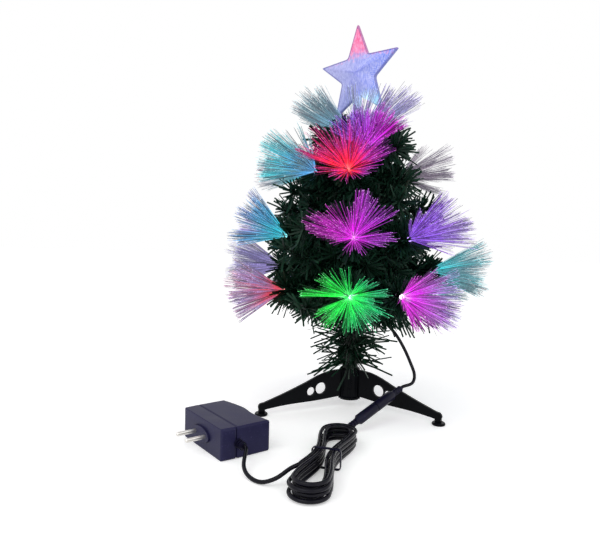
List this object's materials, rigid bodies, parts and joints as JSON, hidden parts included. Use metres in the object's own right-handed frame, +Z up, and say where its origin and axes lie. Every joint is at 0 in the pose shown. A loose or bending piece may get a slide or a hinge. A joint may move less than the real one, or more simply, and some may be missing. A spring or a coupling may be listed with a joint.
{
  "type": "fibre optic table tree",
  "caption": "Small artificial table tree on a splayed stand, with lamp-tipped wire branches, fans of light-guiding fibres, a star, an in-line connector, a tied cord and a plug-in supply.",
  "frame": {"origin": "on the floor under the trunk's axis, midway under the tree", "axes": "+Z up along the trunk, -Y towards the viewer of the picture, +X to that viewer's right"},
  "size_m": [0.3146, 0.4071, 0.4399],
  "materials": {
    "stand_plastic": "black moulded plastic, a little glossy",
    "needle_foil": "dark green tinsel needles wound on wire",
    "clear_fibre": "clear light-guiding fibre, lit from its root",
    "frosted_star": "frosted translucent plastic, lit from below",
    "cord_jacket": "black cord jacket",
    "connector_plastic": "near-black moulded plastic",
    "supply_plastic": "finely textured dark indigo plastic",
    "pin_plating": "plated metal pins"
  },
  "bodies": {
    "stand": {"stand_socket": "stand_plastic", "leg_front_left": "stand_plastic", "leg_front_right": "stand_plastic", "leg_back": "stand_plastic"},
    "tree": {"trunk": "needle_foil", "crown_spray": "clear_fibre", "lead": "cord_jacket", "jack": "connector_plastic"},
    "star_holder": {"star_holder": "frosted_star"},
    "star": {"star": "frosted_star"},
    "supply": {"plug": "connector_plastic", "plug_cord": "cord_jacket", "cord_hank": "cord_jacket", "cord_tie": "connector_plastic", "supply_cord": "cord_jacket", "supply_gland": "connector_plastic", "supply_base": "supply_plastic", "supply_cover": "supply_plastic", "supply_pins": "pin_plating"},
    "branch_01": {"branch_01": "needle_foil", "spray_01": "clear_fibre"},
    "branch_02": {"branch_02": "needle_foil", "spray_02": "clear_fibre"},
    "branch_03": {"branch_03": "needle_foil", "spray_03": "clear_fibre"},
    "branch_04": {"branch_04": "needle_foil", "spray_04": "clear_fibre"},
    "branch_05": {"branch_05": "needle_foil", "spray_05": "clear_fibre"},
    "branch_06": {"branch_06": "needle_foil", "spray_06": "clear_fibre"},
    "branch_07": {"branch_07": "needle_foil", "spray_07": "clear_fibre"},
    "branch_08": {"branch_08": "needle_foil", "spray_08": "clear_fibre"},
    "branch_09": {"branch_09": "needle_foil", "spray_09": "clear_fibre"},
    "branch_10": {"branch_10": "needle_foil", "spray_10": "clear_fibre"},
    "branch_11": {"branch_11": "needle_foil", "spray_11": "clear_fibre"},
    "branch_12": {"branch_12": "needle_foil", "spray_12": "clear_fibre"},
    "branch_13": {"branch_13": "needle_foil", "spray_13": "clear_fibre"},
    "branch_14": {"branch_14": "needle_foil", "spray_14": "clear_fibre"},
    "branch_15": {"branch_15": "needle_foil", "spray_15": "clear_fibre"},
    "branch_16": {"branch_16": "needle_foil", "spray_16": "clear_fibre"},
    "branch_17": {"branch_17": "needle_foil", "spray_17": "clear_fibre"},
    "branch_18": {"branch_18": "needle_foil", "spray_18": "clear_fibre"},
    "branch_19": {"branch_19": "needle_foil", "spray_19": "clear_fibre"}
  },
  "joints": [
    {"name": "tree_lift", "type": "slide", "parent": "stand", "child": "tree", "axis": [0, 0, 1], "range_m": [0, 0.03]},
    {"name": "star_lift", "type": "slide", "parent": "tree", "child": "star_holder", "axis": [0, 0, 1], "range_m": [0, 0.02]},
    {"name": "star_turn", "type": "hinge", "parent": "star_holder", "child": "star", "pos_m": [0, 0, 0.357], "axis": [0, 0, 1], "continuous": true},
    {"name": "plug_pull", "type": "slide", "parent": "tree", "child": "supply", "axis": [-0.664, -0.6756, -0.3203], "range_m": [0, 0.0095]},
    {"name": "branch_01_bend", "type": "hinge", "parent": "tree", "child": "branch_01", "pos_m": [-0.00041, -0.01167, 0.116], "axis": [-0.9994, 0.0349, 0], "range_deg": [-10, 10]},
    {"name": "branch_02_bend", "type": "hinge", "parent": "tree", "child": "branch_02", "pos_m": [0.00703, -0.00933, 0.116], "axis": [-0.7986, -0.6018, 0], "range_deg": [-10, 10]},
    {"name": "branch_03_bend", "type": "hinge", "parent": "tree", "child": "branch_03", "pos_m": [0.01031, 0.00548, 0.116], "axis": [0.4695, -0.8829, 0], "range_deg": [-10, 10]},
    {"name": "branch_04_bend", "type": "hinge", "parent": "tree", "child": "branch_04", "pos_m": [0.00041, 0.01167, 0.116], "axis": [0.9994, -0.0349, 0], "range_deg": [-10, 10]},
    {"name": "branch_05_bend", "type": "hinge", "parent": "tree", "child": "branch_05", "pos_m": [-0.00703, 0.00933, 0.116], "axis": [0.7986, 0.6018, 0], "range_deg": [-10, 10]},
    {"name": "branch_06_bend", "type": "hinge", "parent": "tree", "child": "branch_06", "pos_m": [-0.01031, -0.00548, 0.116], "axis": [-0.4695, 0.8829, 0], "range_deg": [-10, 10]},
    {"name": "branch_07_bend", "type": "hinge", "parent": "tree", "child": "branch_07", "pos_m": [0.01088, -0.00192, 0.142], "axis": [-0.1736, -0.9848, 0], "range_deg": [-10, 10]},
    {"name": "branch_08_bend", "type": "hinge", "parent": "tree", "child": "branch_08", "pos_m": [-0.01088, 0.00192, 0.142], "axis": [0.1736, 0.9848, 0], "range_deg": [-10, 10]},
    {"name": "branch_09_bend", "type": "hinge", "parent": "tree", "child": "branch_09", "pos_m": [0, -0.01029, 0.173], "axis": [-1, 0, 0], "range_deg": [-10, 10]},
    {"name": "branch_10_bend", "type": "hinge", "parent": "tree", "child": "branch_10", "pos_m": [0.0074, -0.00715, 0.173], "axis": [-0.6947, -0.7193, 0], "range_deg": [-10, 10]},
    {"name": "branch_11_bend", "type": "hinge", "parent": "tree", "child": "branch_11", "pos_m": [0.00605, 0.00833, 0.173], "axis": [0.809, -0.5878, 0], "range_deg": [-10, 10]},
    {"name": "branch_12_bend", "type": "hinge", "parent": "tree", "child": "branch_12", "pos_m": [-0.00545, 0.00873, 0.173], "axis": [0.848, 0.5299, 0], "range_deg": [-10, 10]},
    {"name": "branch_13_bend", "type": "hinge", "parent": "tree", "child": "branch_13", "pos_m": [-0.00954, -0.00385, 0.173], "axis": [-0.3746, 0.9272, 0], "range_deg": [-10, 10]},
    {"name": "branch_14_bend", "type": "hinge", "parent": "tree", "child": "branch_14", "pos_m": [-0.00119, -0.00843, 0.246], "axis": [-0.9903, 0.1392, 0], "range_deg": [-10, 10]},
    {"name": "branch_15_bend", "type": "hinge", "parent": "tree", "child": "branch_15", "pos_m": [0.00778, 0.00346, 0.246], "axis": [0.4067, -0.9135, 0], "range_deg": [-10, 10]},
    {"name": "branch_16_bend", "type": "hinge", "parent": "tree", "child": "branch_16", "pos_m": [-0.00089, 0.00847, 0.246], "axis": [0.9945, 0.1045, 0], "range_deg": [-10, 10]},
    {"name": "branch_17_bend", "type": "hinge", "parent": "tree", "child": "branch_17", "pos_m": [-0.00833, 0.00177, 0.246], "axis": [0.2079, 0.9781, 0], "range_deg": [-10, 10]},
    {"name": "branch_18_bend", "type": "hinge", "parent": "tree", "child": "branch_18", "pos_m": [-0.00652, -0.00547, 0.246], "axis": [-0.6428, 0.766, 0], "range_deg": [-10, 10]},
    {"name": "branch_19_bend", "type": "hinge", "parent": "tree", "child": "branch_19", "pos_m": [0.00236, -0.00726, 0.282], "axis": [-0.9511, -0.309, 0], "range_deg": [-10, 10]}
  ]
}
